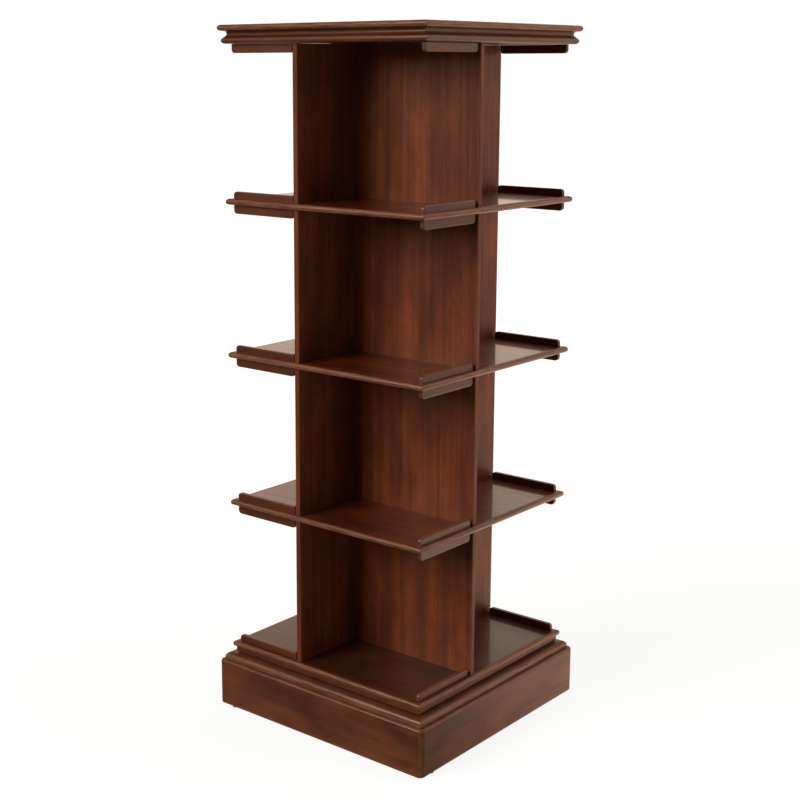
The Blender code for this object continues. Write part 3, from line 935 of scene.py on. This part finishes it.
# %% [markdown]
# ### Glue blocks
# Out of sight, a block is rubbed into each inside corner of the plinth, and it makes the mitre far
# stronger. It is a square stick split from corner to corner. Cutting a soft-edged block in two with
# a plane, and capping the cut, does the same here. These blocks are unpolished.

# %% Glue blocks
BLOCK_LEG, BLOCK_CLEARANCE, BLOCK_ARRIS = 0.030, 0.0002, 0.0012
BLOCK_ABOVE_FOOT, BLOCK_BELOW_TOP = 0.012, 0.004

for turn, face in enumerate(FACES):
    corner = PLINTH_INNER - BLOCK_CLEARANCE
    low = (corner - BLOCK_LEG, -corner, plinth_low.z + BLOCK_ABOVE_FOOT)
    high = (corner, -corner + BLOCK_LEG, plinth_high.z - BLOCK_BELOW_TOP)
    shape = soft_block(low, high, BLOCK_ARRIS, 2)
    split_at = Vector((corner - BLOCK_LEG / 2, -corner + BLOCK_LEG / 2, 0))
    geometry = shape.verts[:] + shape.edges[:] + shape.faces[:]
    cut = bmesh.ops.bisect_plane(
        shape, geom=geometry, plane_co=split_at, plane_no=(-1, 1, 0), clear_outer=True
    )
    rim = [item for item in cut["geom_cut"] if isinstance(item, bmesh.types.BMEdge)]
    bmesh.ops.contextual_create(shape, geom=rim)
    bmesh.ops.recalc_face_normals(shape, faces=shape.faces)
    piece(
        f"glue_block_{face}", shape, 2, "plinth_mahogany", body="base", turn=turn, finish="raw_softwood"
    )
print("four glue blocks,", BLOCK_LEG, "m on each leg")

# %% [markdown]
# ## Turntable board
# The board under the bottom shelf carries the bearing. Only its edge shows, as a second strip
# under the nosing, so its arrises are softened and its well is cut for the bearing.

# %% Turntable board
WELL_RADIUS = 0.058
TURNTABLE_CORNER, TURNTABLE_LOW_ROUND, TURNTABLE_HIGH_ROUND = 0.0022, 0.0018, 0.0008
TURNTABLE_WEAR = 0.55

low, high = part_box("turntable_board")
rims = ((low.z, TURNTABLE_LOW_ROUND), (high.z, TURNTABLE_HIGH_ROUND))
shape = rounded_block(low, high, TURNTABLE_CORNER, rims)
add_wear_band(shape, most=TURNTABLE_WEAR)
shape = carved(shape, bore_cutter(WELL_RADIUS, low.z, 64))
piece("turntable", shape, 0, "edge_mahogany", ["turntable_board"])
print("turntable board", round(2 * high.x, 4), "m square")

# %% [markdown]
# ## Metal, nylon and felt
# These parts keep their CAD shapes, because the case and the plinth hide them. Turned steel has
# fine rings about its axis, nylon is smooth and cream-coloured, and felt is fibrous with no shine.

# %% Metal, nylon and felt
MARK_DARKER, MARK_ROUGHNESS, MARK_STRENGTH = 0.6, 0.08, 0.3


def fitting(name, colour, roughness, metallic, stretch, bump_height):
    """A material with fine marks in object space, which vary its colour, roughness and relief."""
    material = bpy.data.materials.new(name)
    material.use_nodes = True
    tree = material.node_tree
    shader = tree.nodes["Principled BSDF"]
    place = tree.nodes.new("ShaderNodeTexCoord").outputs["Object"]
    marks = noise_along(tree, place, stretch, 4, 0.6)
    darker = tuple(MARK_DARKER * value for value in colour)
    tree.links.new(blended(tree, marks, (*darker, 1), (*colour, 1)), shader.inputs["Base Color"])
    smooth, rough = roughness - MARK_ROUGHNESS, roughness + MARK_ROUGHNESS
    tree.links.new(graded(tree, marks, 0.2, 0.8, smooth, rough), shader.inputs["Roughness"])
    shader.inputs["Metallic"].default_value = metallic
    bump = tree.nodes.new("ShaderNodeBump")
    bump.inputs["Strength"].default_value = MARK_STRENGTH
    bump.inputs["Distance"].default_value = bump_height
    tree.links.new(marks, bump.inputs["Height"])
    tree.links.new(bump.outputs["Normal"], shader.inputs["Normal"])
    return material


steel = fitting("bright_steel", (0.60, 0.61, 0.62), 0.30, 1.0, (30, 30, 900), 0.0001)
nylon = fitting("cream_nylon", (0.74, 0.71, 0.62), 0.45, 0.0, (120, 120, 120), 0.0001)
felt = fitting("brown_felt", (0.13, 0.10, 0.075), 0.90, 0.0, (900, 900, 900), 0.0006)
for node_name, material in (
    ("centre_post", steel),
    ("lower_race", steel),
    ("upper_race", steel),
    ("ball_cage", steel),
    ("top_bush", nylon),
    *((f"felt_pad_{face}", felt) for face in FACES),
):
    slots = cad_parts[node_name].data.materials
    slots.clear()
    slots.append(material)
print("steel, nylon and felt on their fittings")

# %% [markdown]
# ## Measure and finish
# The box of the working model and the box of the finished one are printed side by side. The
# looks may not change the size.

# %% Measure and finish
low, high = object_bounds()
print("visual", [round(value, 4) for value in high - low], "cad", [round(v, 4) for v in cad_high - cad_low])
